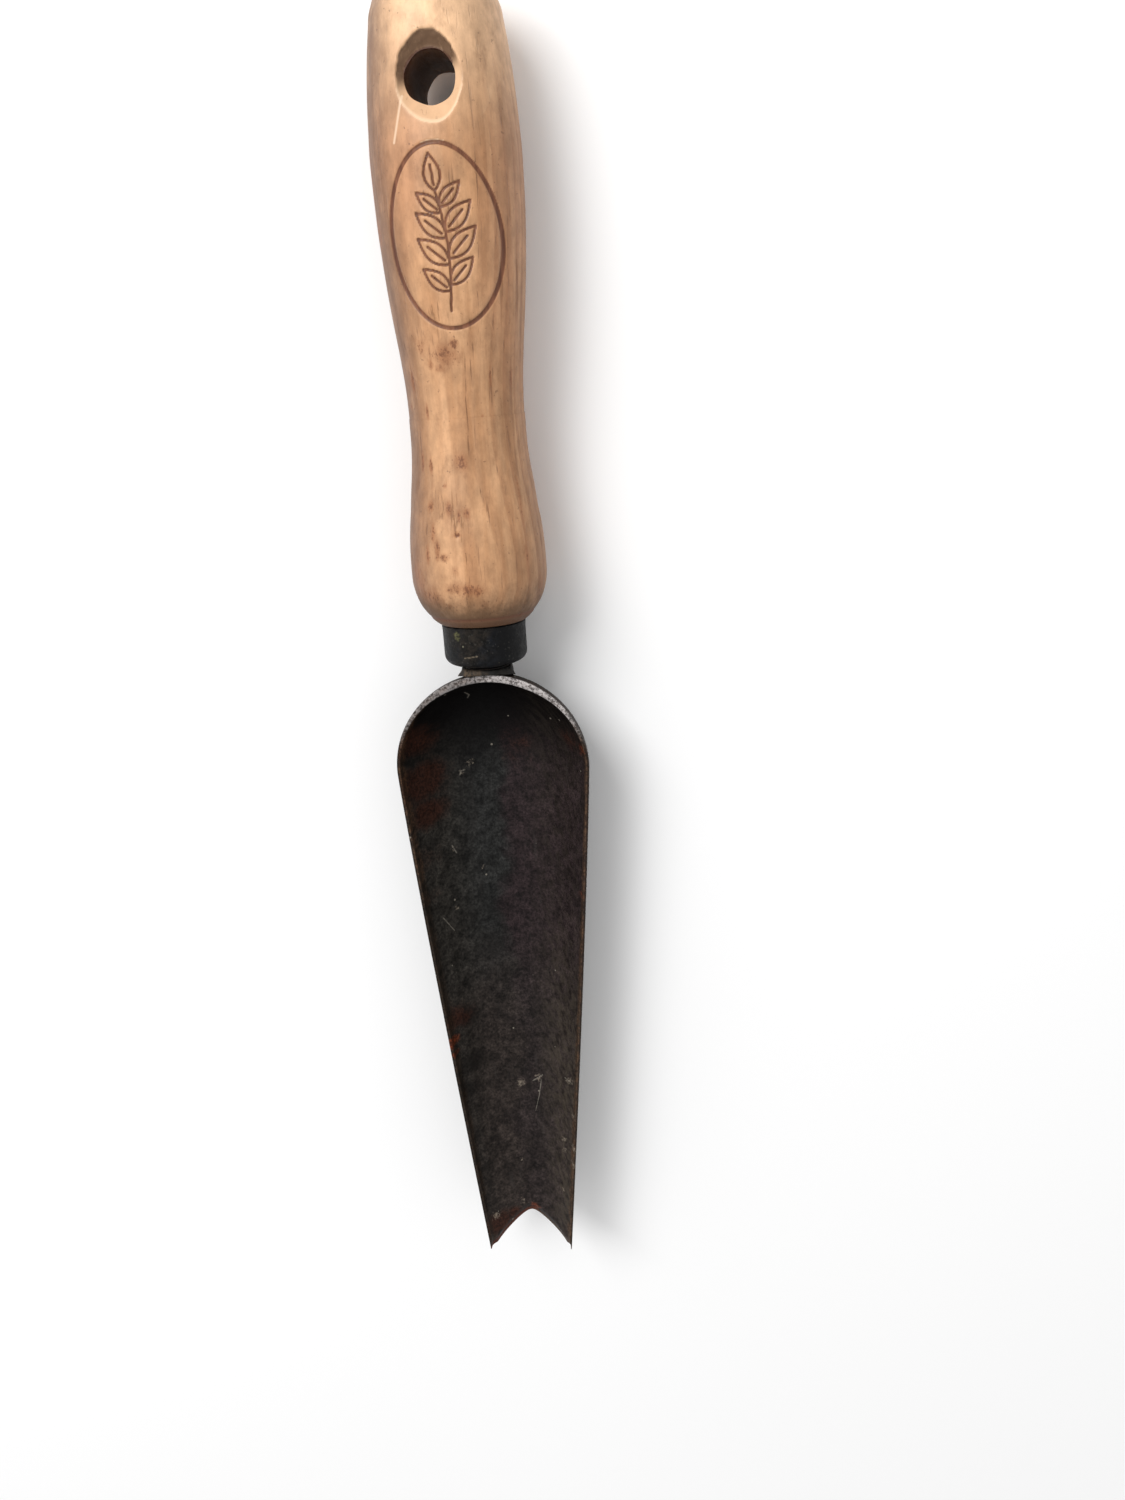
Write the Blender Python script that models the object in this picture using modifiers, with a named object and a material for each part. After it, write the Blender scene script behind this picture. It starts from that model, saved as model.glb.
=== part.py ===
"""Hand dibber with a scoop blade: a turned ash handle, a steel ferrule, a tang and a hollow steel blade.

+Y runs along the tool to the butt of the handle, and +Z is up, out of the scoop's mouth. The origin is on the
surface that the tool lies on, under the middle of its length. Turned pieces are drawn as outlines of
(radius, height), where height is measured along the handle's axis from the wood's shoulder at the ferrule, up
to the butt and down to the blade.
"""

import math

import bmesh
import bpy
from mathutils import Vector
from mathutils.geometry import interpolate_bezier

# Driving dimensions, in metres.
GAP = 0.0003  # left between solids that touch

HANDLE_LENGTH = 0.140
BUTT_FLAT_RADIUS = 0.0065
BUTT_SHOULDER_RADIUS = 0.01465
BUTT_ROUNDING = 0.010  # height of the rounded end above its shoulder
BUTT_LEAN = 0.135  # slope of the side at that shoulder, outwards on the way down
UPPER_BULGE_RADIUS = 0.0168
UPPER_BULGE_FROM_BUTT = 0.040
WAIST_RADIUS = 0.01345
WAIST_AT = 0.048
LOWER_BULGE_RADIUS = 0.01625
LOWER_BULGE_AT = 0.012
FOOT_STEP = 0.0005  # of the wood's shoulder past the ferrule

HOLE_RADIUS = 0.0055  # hanging hole through the upper bulge
HOLE_FROM_BUTT = 0.0227
COUNTERSINK_DEPTH = 0.0033  # below the bulge's crown
COUNTERSINK_ANGLE = math.radians(117)  # full angle of its cone

FERRULE_LENGTH = 0.0110
FERRULE_RADIUS = 0.0101
FERRULE_WALL = 0.0014
FERRULE_CORNER = 0.0024
FERRULE_DOME = 0.0007  # how far its bottom stands out in the middle

TANG_RADIUS = 0.0042
TANG_TIP_RADIUS = 0.0018
TANG_REACH = 0.066  # into the handle, from the wood's shoulder
TANG_END_ROOM = 0.002  # left past its tip in the handle's bore
NECK_RADIUS = 0.0054
NECK_LENGTH = 0.0019  # between the ferrule and the blade's rear rim

WELD_LENGTH = 0.0014  # of the neck that the weld covers above the rear rim
WELD_EDGE = 0.0004  # thickness of its upper edge
WELD_FLARE = 0.0030  # how far it spreads past the neck at its foot
WELD_CURVE = 0.8  # under 1, so that its side is hollow

BLADE_LENGTH = 0.164  # from the rear rim to the tips
BOWL_RADIUS = 0.0240  # of the round rear end, seen from above
BLADE_DEPTH = 0.0218  # from the rim to the outside of the bottom
TIP_WIDTH = 0.0226
TIP_DEPTH = 0.0070
PLATE = 0.0021
RIM_RISE = 0.0050  # of the rim above the handle's axis
RIM_LAND = 0.0008  # height of the upright edge along the rim
TAPER_POWER = 1.1  # over 1, so that the blade leaves the bowl without a corner
NOTCH_DEPTH = 0.0078
NOTCH_WIDTH = 0.0205
NOTCH_ROUND = 0.0015

# How finely the curved shapes are cut up.
TURNED_STEPS = 48
HOLE_STEPS = 32
ACROSS_STEPS = 24  # from one rim to the other, and round the bowl
ALONG_STEPS = 22
ARC_STEPS = 6
SMOOTH_BELOW = math.radians(35)

# Worked out from the driving dimensions.
AXIS_HEIGHT = max(UPPER_BULGE_RADIUS, LOWER_BULGE_RADIUS, BLADE_DEPTH - RIM_RISE)
BLADE_REACH = FERRULE_LENGTH + NECK_LENGTH + BLADE_LENGTH
SHOULDER_Y = (BLADE_REACH - HANDLE_LENGTH) / 2
BOWL_CENTRE_Y = -(FERRULE_LENGTH + NECK_LENGTH + BOWL_RADIUS)
TAPER_LENGTH = BLADE_LENGTH - BOWL_RADIUS
FERRULE_FLOOR = FERRULE_LENGTH - FERRULE_DOME - FERRULE_WALL  # depth of the cup
TENON_RADIUS = FERRULE_RADIUS - FERRULE_WALL - GAP
FOOT_RADIUS = FERRULE_RADIUS + FOOT_STEP
CUTTER_MARGIN = 0.010  # how far a cutter runs past what it cuts


def clear_scene():
    for obj in list(bpy.data.objects):
        bpy.data.objects.remove(obj)


def new_collection(name):
    collection = bpy.data.collections.new(name)
    bpy.context.scene.collection.children.link(collection)
    return collection


def new_material(name, colour, roughness, metallic):
    material = bpy.data.materials.new(name)
    material.use_nodes = True
    shader = material.node_tree.nodes["Principled BSDF"]
    shader.inputs["Base Color"].default_value = (*colour, 1)
    shader.inputs["Roughness"].default_value = roughness
    shader.inputs["Metallic"].default_value = metallic
    return material


def new_object(name, mesh, collection, parent, material=None):
    """A smooth-shaded object, held by the empty on the handle's axis."""
    mesh.shade_smooth()
    mesh.set_sharp_from_angle(angle=SMOOTH_BELOW)
    if material:
        mesh.materials.append(material)
    obj = bpy.data.objects.new(name, mesh)
    collection.objects.link(obj)
    obj.parent = parent
    return obj


def turned(name, outline, steps, is_ring, **kwargs):
    """An outline of (radius, height) spun about its own Z. A ring's outline closes on itself."""
    count = len(outline)
    edges = [(i, (i + 1) % count) for i in range(count if is_ring else count - 1)]
    mesh = bpy.data.meshes.new(name)
    mesh.from_pydata([(radius, 0, height) for radius, height in outline], edges, [])
    obj = new_object(name, mesh, **kwargs)
    screw = obj.modifiers.new("turn", "SCREW")
    screw.steps = steps
    screw.render_steps = steps
    screw.use_merge_vertices = True
    screw.merge_threshold = 0.00001
    screw.use_smooth_shade = True
    return obj


def lay_along_tool(obj):
    """Turns a piece's own Z to the tool's +Y, along the handle's axis."""
    obj.rotation_euler = (-math.pi / 2, 0, 0)


def as_cutter(obj):
    obj.hide_render = True
    obj.display_type = "WIRE"
    return obj


def cut(obj, cutter):
    boolean = obj.modifiers.new("cut_" + cutter.name, "BOOLEAN")
    boolean.operation = "DIFFERENCE"
    boolean.solver = "EXACT"
    boolean.object = cutter


def curve_through(knots, steps):
    """Points along a Bezier curve. A knot is (radius, height), the handle before it and the one after it."""
    points = [knots[0][0]]
    for (start, _, leaving), (end, arriving, _) in zip(knots, knots[1:]):
        first = Vector(start)
        last = Vector(end)
        span = interpolate_bezier(
            first.to_3d(),
            (first + Vector(leaving)).to_3d(),
            (last + Vector(arriving)).to_3d(),
            last.to_3d(),
            steps + 1,
        )
        points += [(point.x, point.y) for point in span[1:]]
    return points


def handle_outline():
    """The handle's side, from the butt's flat down to the shoulder at the ferrule. Each knot's handles are given
    as a share of the stretch they stand in, and run along the tool at the bulges and the waist."""
    shoulder_at = HANDLE_LENGTH - BUTT_ROUNDING
    bulge_at = HANDLE_LENGTH - UPPER_BULGE_FROM_BUTT
    crown = shoulder_at - bulge_at
    upper = bulge_at - WAIST_AT
    lower = WAIST_AT - LOWER_BULGE_AT

    def leaning(length):
        return (BUTT_LEAN * length, -length)

    def along(length):
        return (0, length)

    butt = ((BUTT_FLAT_RADIUS, HANDLE_LENGTH), None, (BUTT_ROUNDING * 0.5, 0))
    shoulder = (
        (BUTT_SHOULDER_RADIUS, shoulder_at),
        leaning(-BUTT_ROUNDING * 0.45),
        leaning(crown / 3),
    )
    bulge = ((UPPER_BULGE_RADIUS, bulge_at), along(crown / 3), along(-upper * 0.46))
    waist = ((WAIST_RADIUS, WAIST_AT), along(upper * 0.31), along(-lower * 0.44))
    lower_bulge = (
        (LOWER_BULGE_RADIUS, LOWER_BULGE_AT),
        along(lower * 0.39),
        along(-LOWER_BULGE_AT * 0.55),
    )
    width_left = LOWER_BULGE_RADIUS - FOOT_RADIUS
    foot = ((FOOT_RADIUS, 0), (width_left * 0.25, LOWER_BULGE_AT * 0.05), None)
    return curve_through(
        [butt, shoulder, bulge, waist, lower_bulge, foot], ARC_STEPS + 1
    )


def add_handle(**kwargs):
    tenon_end = -FERRULE_FLOOR + GAP
    bore_end = TANG_REACH + TANG_END_ROOM
    outline = [(0, HANDLE_LENGTH)]
    outline += handle_outline()
    outline += [
        (TENON_RADIUS, 0),
        (TENON_RADIUS, tenon_end),
        (TANG_RADIUS + GAP, tenon_end),
        (TANG_RADIUS + GAP, 0),
        (TANG_TIP_RADIUS + GAP, bore_end),
        (0, bore_end),
    ]
    handle = turned("handle", outline, TURNED_STEPS, False, **kwargs)
    lay_along_tool(handle)
    return handle


def add_hole_cutter(**kwargs):
    """The hanging hole, with the same countersink at each mouth."""
    crown = UPPER_BULGE_RADIUS
    narrow_at = crown - COUNTERSINK_DEPTH
    top = crown + CUTTER_MARGIN / 2
    wide = HOLE_RADIUS + (top - narrow_at) * math.tan(COUNTERSINK_ANGLE / 2)
    outline = [
        (0, top),
        (wide, top),
        (HOLE_RADIUS, narrow_at),
        (HOLE_RADIUS, -narrow_at),
        (wide, -top),
        (0, -top),
    ]
    cutter = turned("hole_cutter", outline, HOLE_STEPS, False, **kwargs)
    cutter.location.y = HANDLE_LENGTH - HOLE_FROM_BUTT
    return as_cutter(cutter)


def add_ferrule(**kwargs):
    """A steel cup over the handle's tenon, with a hole for the tang in its domed bottom."""
    corner_at = FERRULE_LENGTH - FERRULE_DOME
    hole = TANG_RADIUS + GAP
    inside = FERRULE_RADIUS - FERRULE_WALL
    outline = [(FERRULE_RADIUS, -GAP)]
    for step in range(ARC_STEPS + 1):
        turn = math.pi / 2 * step / ARC_STEPS
        radius = FERRULE_RADIUS - FERRULE_CORNER * (1 - math.cos(turn))
        height = -corner_at + FERRULE_CORNER * (1 - math.sin(turn))
        outline.append((radius, height))
    outline += [
        (NECK_RADIUS + GAP, -FERRULE_LENGTH),
        (hole, -FERRULE_LENGTH),
        (hole, -FERRULE_FLOOR),
        (inside, -FERRULE_FLOOR),
        (inside, -GAP),
    ]
    ferrule = turned("ferrule", outline, TURNED_STEPS, True, **kwargs)
    lay_along_tool(ferrule)
    return ferrule


def add_tang(**kwargs):
    """One forged piece: the neck, the stem through the ferrule and the spike in the handle."""
    collar_at = -FERRULE_LENGTH - GAP
    foot_at = BOWL_CENTRE_Y + BOWL_RADIUS / 2
    outline = [
        (0, TANG_REACH),
        (TANG_TIP_RADIUS, TANG_REACH),
        (TANG_RADIUS, 0),
        (TANG_RADIUS, collar_at),
        (NECK_RADIUS, collar_at),
        (NECK_RADIUS, foot_at),
        (0, foot_at),
    ]
    tang = turned("tang", outline, TURNED_STEPS, False, **kwargs)
    lay_along_tool(tang)
    return tang


def add_weld(**kwargs):
    """The bead that joins the neck to the back of the bowl, flaring towards the bowl."""
    rim_at = -(FERRULE_LENGTH + NECK_LENGTH)
    top_at = rim_at + WELD_LENGTH
    foot_at = BOWL_CENTRE_Y + BOWL_RADIUS / 2
    inside = NECK_RADIUS + GAP
    outline = []
    for step in range(ARC_STEPS + 1):
        share = step / ARC_STEPS
        radius = inside + WELD_EDGE + WELD_FLARE * share
        outline.append((radius, top_at + (foot_at - top_at) * share**WELD_CURVE))
    outline += [(inside, foot_at), (inside, top_at)]
    weld = turned("neck_weld", outline, TURNED_STEPS, True, **kwargs)
    lay_along_tool(weld)
    return weld


def add_bowl_cutter(**kwargs):
    """The bowl's outside and the space over it, which the neck and its weld stop short of."""
    radius = BOWL_RADIUS + GAP
    drop = BLADE_DEPTH + GAP - RIM_LAND
    outline = [(0, RIM_RISE + CUTTER_MARGIN), (radius, RIM_RISE + CUTTER_MARGIN)]
    rings = ACROSS_STEPS // 2
    for step in range(rings + 1):
        turn = math.pi / 2 * step / rings
        outline.append((radius * math.cos(turn), -RIM_LAND - drop * math.sin(turn)))
    outline[-1] = (0, outline[-1][1])
    cutter = turned("bowl_cutter", outline, 2 * ACROSS_STEPS, False, **kwargs)
    cutter.location = (0, BOWL_CENTRE_Y, RIM_RISE)
    return as_cutter(cutter)


def taper(wide, narrow, share):
    """A size of the blade, falling from the bowl to the tips."""
    return wide + (narrow - wide) * share**TAPER_POWER


def blade_end(across):
    """How far the blade reaches ahead of the bowl's centre, this far from its middle line."""

    def rounded(distance):
        return math.hypot(distance, NOTCH_ROUND) - NOTCH_ROUND

    share = rounded(across) / rounded(NOTCH_WIDTH / 2)
    return TAPER_LENGTH - max(0, NOTCH_DEPTH * (1 - share))


def trough_point(reach, turn):
    """A point of the outer skin ahead of the bowl. turn is 0 at the right rim and pi at the left."""
    share = reach / TAPER_LENGTH
    half_width = taper(BOWL_RADIUS, TIP_WIDTH / 2, share)
    drop = taper(BLADE_DEPTH, TIP_DEPTH, share) - RIM_LAND
    return (half_width * math.cos(turn), -reach, -RIM_LAND - drop * math.sin(turn))


def bowl_point(swing, turn):
    """A point of the outer skin of the round rear end. swing goes round it, turn down to its bottom."""
    level = BOWL_RADIUS * math.cos(turn)
    drop = BLADE_DEPTH - RIM_LAND
    return (
        level * math.cos(swing),
        level * math.sin(swing),
        -RIM_LAND - drop * math.sin(turn),
    )


def blade_skin():
    """The blade's outer skin: a trough that opens ahead and a quarter of a spheroid that closes it behind."""
    shape = bmesh.new()

    def row_of(points):
        return [shape.verts.new(point) for point in points]

    def on_rim(point):
        return (point[0], point[1], 0)

    turns = [math.pi * step / ACROSS_STEPS for step in range(ACROSS_STEPS + 1)]
    rows = []
    for step in range(ALONG_STEPS + 1):
        points = []
        for turn in turns:
            end = blade_end(TIP_WIDTH / 2 * math.cos(turn))
            points.append(trough_point(end * (1 - step / ALONG_STEPS), turn))
        rows.append(row_of([on_rim(points[0]), *points, on_rim(points[-1])]))
    for row, next_row in zip(rows, rows[1:]):
        for i in range(len(row) - 1):
            shape.faces.new((row[i], row[i + 1], next_row[i + 1], next_row[i]))

    last_row = rows[-1]
    middle = len(last_row) // 2
    bottom = last_row[middle]
    ribs = [last_row[:middle]]
    for step in range(1, ACROSS_STEPS):
        swing = math.pi * step / ACROSS_STEPS
        points = [bowl_point(swing, turn) for turn in turns[: ACROSS_STEPS // 2]]
        ribs.append(row_of([on_rim(points[0]), *points]))
    ribs.append(last_row[:middle:-1])
    for rib, next_rib in zip(ribs, ribs[1:]):
        for i in range(len(rib) - 1):
            shape.faces.new((rib[i], rib[i + 1], next_rib[i + 1], next_rib[i]))
        shape.faces.new((rib[-1], bottom, next_rib[-1]))

    mesh = bpy.data.meshes.new("blade")
    shape.to_mesh(mesh)
    shape.free()
    return mesh


def add_blade(**kwargs):
    blade = new_object("blade", blade_skin(), **kwargs)
    blade.location = (0, BOWL_CENTRE_Y, RIM_RISE)
    plate = blade.modifiers.new("plate", "SOLIDIFY")
    plate.thickness = PLATE
    plate.offset = -1
    plate.use_even_offset = True
    return blade


def build():
    clear_scene()
    pieces = new_collection("garden_dibber")
    cutters = new_collection("cutters")
    axis = bpy.data.objects.new("handle_axis", None)
    axis.location = (0, SHOULDER_Y, AXIS_HEIGHT)
    pieces.objects.link(axis)

    ash = new_material("ash", (0.56, 0.36, 0.22), 0.55, 0.0)
    ferrule_steel = new_material("ferrule_steel", (0.016, 0.017, 0.019), 0.45, 0.7)
    tang_steel = new_material("tang_steel", (0.030, 0.026, 0.023), 0.55, 0.7)
    weld_steel = new_material("weld_steel", (0.045, 0.036, 0.028), 0.65, 0.6)
    blade_steel = new_material("blade_steel", (0.019, 0.016, 0.016), 0.50, 0.7)

    placed = {"collection": pieces, "parent": axis}
    cutting = {"collection": cutters, "parent": axis}
    handle = add_handle(material=ash, **placed)
    add_ferrule(material=ferrule_steel, **placed)
    tang = add_tang(material=tang_steel, **placed)
    weld = add_weld(material=weld_steel, **placed)
    add_blade(material=blade_steel, **placed)
    cut(handle, add_hole_cutter(**cutting))
    bowl_cutter = add_bowl_cutter(**cutting)
    cut(tang, bowl_cutter)
    cut(weld, bowl_cutter)


build()
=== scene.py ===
"""Looks of the garden dibber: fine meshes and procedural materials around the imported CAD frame."""

import math

import bmesh
import bpy
import numpy as np
from mathutils import Euler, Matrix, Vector, noise


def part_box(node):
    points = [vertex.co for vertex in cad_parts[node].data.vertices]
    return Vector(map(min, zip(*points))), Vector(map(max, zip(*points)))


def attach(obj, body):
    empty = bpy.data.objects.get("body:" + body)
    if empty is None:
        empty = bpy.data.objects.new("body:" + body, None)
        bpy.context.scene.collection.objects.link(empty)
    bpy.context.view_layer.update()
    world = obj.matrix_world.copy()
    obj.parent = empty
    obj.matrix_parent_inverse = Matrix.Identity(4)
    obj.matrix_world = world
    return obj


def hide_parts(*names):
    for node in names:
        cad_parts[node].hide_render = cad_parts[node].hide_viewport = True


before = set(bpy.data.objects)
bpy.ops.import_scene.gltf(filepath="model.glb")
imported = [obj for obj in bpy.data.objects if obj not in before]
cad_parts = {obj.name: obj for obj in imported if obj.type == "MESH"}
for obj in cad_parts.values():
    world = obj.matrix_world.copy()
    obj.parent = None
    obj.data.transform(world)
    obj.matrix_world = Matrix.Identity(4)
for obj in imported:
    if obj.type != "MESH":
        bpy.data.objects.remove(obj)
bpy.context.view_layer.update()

MM = 0.001
MERGE = 1e-6  # points closer than this are one point
SHARP_ANGLE = math.radians(35)

# The handle's axis and the heights of the turned pieces, from the frame.
FERRULE_LOW, FERRULE_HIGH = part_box("ferrule")
HANDLE_LOW, HANDLE_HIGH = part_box("handle")
BLADE_LOW, BLADE_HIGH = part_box("blade")
TANG_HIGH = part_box("tang")[1]
WELD_LOW, WELD_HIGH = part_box("neck_weld")
AXIS_Z = (FERRULE_LOW.z + FERRULE_HIGH.z) / 2
AXIS = np.array([0, 0, AXIS_Z])
GAP = 0.3 * MM
SHOULDER_Y = FERRULE_HIGH.y + GAP
BUTT_Y = HANDLE_HIGH.y

# The hanging hole.
HOLE_RADIUS = 5.5 * MM
HOLE_Y = BUTT_Y - 22.7 * MM
HOLE_NARROW = 13.5 * MM  # from the axis, where the countersink meets the bore
HOLE_SLOPE = math.tan(math.radians(58.5))
HOLE_REACH = 13 * MM  # from the hole's middle, past the edge of either countersink
SOFT_EDGE = 0.10 * MM  # of the countersinks

# The stamp on the handle: a plain oval round a leaf sprig.
STAMP_X = 0.6 * MM
STAMP_Y = SHOULDER_Y + 85.9 * MM
STAMP_HALF = (11.9 * MM, 18.6 * MM)
STAMP_TURN = math.radians(3.5)
STAMP_LINE = 0.34 * MM  # half the width of its finest grooves
STAMP_DEPTH = 0.32 * MM

# A turned line near the handle's foot, and a nick above it.
FOOT_LINE_Y = SHOULDER_Y + 2.1 * MM
NICK_X = -1.9 * MM
NICK_Y = SHOULDER_Y + 22.6 * MM

# The blade's own sizes, as the CAD has them.
BOWL_RADIUS = BLADE_HIGH.x
BLADE_DEPTH = BLADE_HIGH.z - BLADE_LOW.z
BOWL_Y = BLADE_HIGH.y - BOWL_RADIUS
TAPER_LENGTH = BOWL_Y - BLADE_LOW.y
TIP_WIDTH = 22.6 * MM
TIP_DEPTH = 7.0 * MM
PLATE = 2.1 * MM
RIM_LAND = 0.8 * MM
TAPER_POWER = 1.1
NOTCH_DEPTH = 7.8 * MM
NOTCH_WIDTH = 20.5 * MM
NOTCH_ROUND = 1.5 * MM
RIM_CORNER = 0.40 * MM  # of the rim's rounded top
RIM_SLOPE = 0.45 * MM  # how much lower the rim's inner edge is along the taper


# Meshes


def smooth_step(low, high, value):
    share = np.clip((value - low) / (high - low), 0, 1)
    return share * share * (3 - 2 * share)


def lumps(points, size, seed):
    """Smooth random values between about -1 and 1, one for each point, with lumps of this size."""
    shift = Vector((17.3, 5.1, 9.7)) * seed
    scaled = np.asarray(points) / size
    return np.array([noise.noise(Vector(point) + shift) for point in scaled])


def spread(start, stop, step_at):
    """Places from start to stop, spaced as step_at says."""
    places = [start]
    while places[-1] < stop:
        places.append(places[-1] + step_at(places[-1]))
    places = np.array(places)
    return start + (places - start) * (stop - start) / (places[-1] - start)


def grid_faces(rows, columns, offset=0):
    row, column = np.mgrid[: rows - 1, : columns - 1]
    first = offset + (row * columns + column).ravel()
    return np.stack([first, first + 1, first + columns + 1, first + columns], axis=1)


def mesh_of_grids(name, grids):
    """One closed mesh from grids of points whose borders meet."""
    points, faces, offset = [], [], 0
    for grid in grids:
        points.append(grid.reshape(-1, 3))
        faces.append(grid_faces(*grid.shape[:2], offset))
        offset += grid.shape[0] * grid.shape[1]
    mesh = bpy.data.meshes.new(name)
    mesh.from_pydata(np.concatenate(points).tolist(), [], np.concatenate(faces).tolist())
    shape = bmesh.new()
    shape.from_mesh(mesh)
    bmesh.ops.remove_doubles(shape, verts=shape.verts, dist=MERGE)
    bmesh.ops.recalc_face_normals(shape, faces=shape.faces)
    shape.to_mesh(mesh)
    shape.free()
    return mesh


def points_of(mesh):
    flat = np.empty(len(mesh.vertices) * 3)
    mesh.vertices.foreach_get("co", flat)
    return flat.reshape(-1, 3)


def move_points(mesh, points):
    mesh.vertices.foreach_set("co", np.ascontiguousarray(points, np.float32).ravel())
    mesh.update()


def normals_of(mesh):
    flat = np.empty(len(mesh.vertices) * 3)
    mesh.vertex_normals.foreach_get("vector", flat)
    return flat.reshape(-1, 3)


def store(mesh, name, values):
    attribute = mesh.attributes.new(name, "FLOAT", "POINT")
    attribute.data.foreach_set("value", np.ascontiguousarray(values, np.float32))


def link(obj):
    bpy.context.scene.collection.objects.link(obj)
    return obj


def add_piece(name, mesh, node, material):
    """A fine piece that stands for a CAD node: it gets this material, hangs under the root body and hides
    the node's CAD part.
    """
    mesh.shade_smooth()
    mesh.set_sharp_from_angle(angle=SHARP_ANGLE)
    mesh.materials.clear()
    mesh.materials.append(material)
    obj = link(bpy.data.objects.new(name, mesh))
    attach(obj, "root")
    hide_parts(node)
    return obj


# Materials


def colour(red, green, blue):
    """A colour from its screen values, 0 to 255."""

    def linear(value):
        value /= 255
        return value / 12.92 if value <= 0.04045 else ((value + 0.055) / 1.055) ** 2.4

    return (linear(red), linear(green), linear(blue), 1)


class Look:
    """A procedural material, put together one node at a time."""

    def __init__(self, name):
        self.material = bpy.data.materials.new(name)
        self.material.use_nodes = True
        self.tree = self.material.node_tree
        self.shader = self.tree.nodes["Principled BSDF"]
        self.where = self.node("TexCoord").outputs["Object"]

    def feed(self, socket, value):
        if isinstance(value, bpy.types.NodeSocket):
            self.tree.links.new(value, socket)
        else:
            socket.default_value = value

    def node(self, kind, inputs=(), **settings):
        made = self.tree.nodes.new("ShaderNode" + kind)
        for key, value in settings.items():
            setattr(made, key, value)
        for key, value in dict(inputs).items():
            self.feed(made.inputs[key], value)
        return made

    def surface(self, **inputs):
        for key, value in inputs.items():
            self.feed(self.shader.inputs[key.replace("_", " ")], value)
        return self.material

    def axes(self):
        """Object coordinates, one socket for each axis."""
        return self.node("SeparateXYZ", {0: self.where}).outputs

    def place(self, scale=(1, 1, 1), shift=(0, 0, 0), turn=(0, 0, 0)):
        """Object coordinates, moved, turned and then stretched."""
        moved = self.node("Mapping", {"Vector": self.where, "Location": shift, "Rotation": turn})
        return self.node("Mapping", {"Vector": moved.outputs[0], "Scale": scale}).outputs[0]

    def noise(self, vector, scale, detail=3, rough=0.55, distortion=0):
        inputs = {
            "Vector": vector,
            "Scale": scale,
            "Detail": detail,
            "Roughness": rough,
            "Distortion": distortion,
        }
        return self.node("TexNoise", inputs).outputs["Fac"]

    def range(self, value, low, high, start=0, end=1):
        """value from low to high becomes start to end, smoothly."""
        inputs = {"Value": value, "From Min": low, "From Max": high, "To Min": start, "To Max": end}
        return self.node("MapRange", inputs, interpolation_type="SMOOTHSTEP").outputs[0]

    def maths(self, operation, *values):
        inputs = dict(enumerate(values))
        return self.node("Math", inputs, operation=operation).outputs[0]

    def fold(self, operation, values):
        result = values[0]
        for value in values[1:]:
            result = self.maths(operation, result, value)
        return result

    def times(self, *values):
        return self.fold("MULTIPLY", values)

    def plus(self, *values):
        return self.fold("ADD", values)

    def most(self, *values):
        return self.fold("MAXIMUM", values)

    def mix(self, share, first, second, blend="MIX"):
        made = self.node("Mix", data_type="RGBA", blend_type=blend)
        self.feed(made.inputs["Factor"], share)
        colours = [socket for socket in made.inputs if socket.type == "RGBA"]
        self.feed(colours[0], first)
        self.feed(colours[1], second)
        return [socket for socket in made.outputs if socket.type == "RGBA"][0]

    def tint(self, base, share, strength, tone):
        """base under a screen colour, which covers it by share times strength."""
        return self.mix(self.times(share, strength), base, colour(*tone))

    def vary(self, base, value, low, high, dark, light):
        """base times a factor that goes from dark to light as value goes from low to high."""
        factor = self.range(value, low, high, dark, light)
        grey = self.node("CombineColor", {0: factor, 1: factor, 2: factor}).outputs[0]
        return self.mix(1, base, grey, "MULTIPLY")

    def scratch(self, start, end, width):
        """A thin straight mark seen from above, between two points (x, y) in millimetres."""
        (x1, y1), (x2, y2) = start, end
        turn = -math.atan2(y2 - y1, x2 - x1)
        middle = Vector(((x1 + x2) / 2, (y1 + y2) / 2, 0)) * MM
        shift = -(Euler((0, 0, turn)).to_matrix() @ middle)
        laid = self.node("Mapping", {"Vector": self.where, "Location": shift, "Rotation": (0, 0, turn)})
        apart = self.node("SeparateXYZ", {0: laid.outputs[0]})
        half = math.dist(start, end) / 2 * MM
        past = self.maths("MAXIMUM", self.plus(self.maths("ABSOLUTE", apart.outputs[0]), -half), 0)
        away = self.plus(past, self.maths("ABSOLUTE", apart.outputs[1]))
        return self.range(away, width * 0.25 * MM, width * 0.75 * MM, 1, 0)

    def specks(self, scale, radius, share):
        """Small round spots, in this share of the cells of a random pattern."""
        cells = self.node("TexVoronoi", {"Vector": self.where, "Scale": scale})
        chosen = self.maths("GREATER_THAN", cells.outputs["Color"], 1 - share)
        return self.times(self.range(cells.outputs["Distance"], radius, radius * 1.6, 1, 0), chosen)

    def attribute(self, name):
        return self.node("Attribute", attribute_name=name).outputs["Fac"]

    def bump(self, height, distance):
        inputs = {"Height": height, "Distance": distance, "Strength": 1.0}
        return self.node("Bump", inputs).outputs[0]


# The handle


def rings_of(node):
    """(place along the tool, radius) of each full ring of a turned CAD node's points."""
    offset = points_of(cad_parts[node].data) - AXIS
    offset = np.unique(np.round(offset, 5), axis=0)
    radius = np.hypot(offset[:, 0], offset[:, 2])
    keys = np.round(np.stack([offset[:, 1], radius], axis=1), 4)
    found, counts = np.unique(keys, axis=0, return_counts=True)
    return found[counts >= 18]


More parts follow.
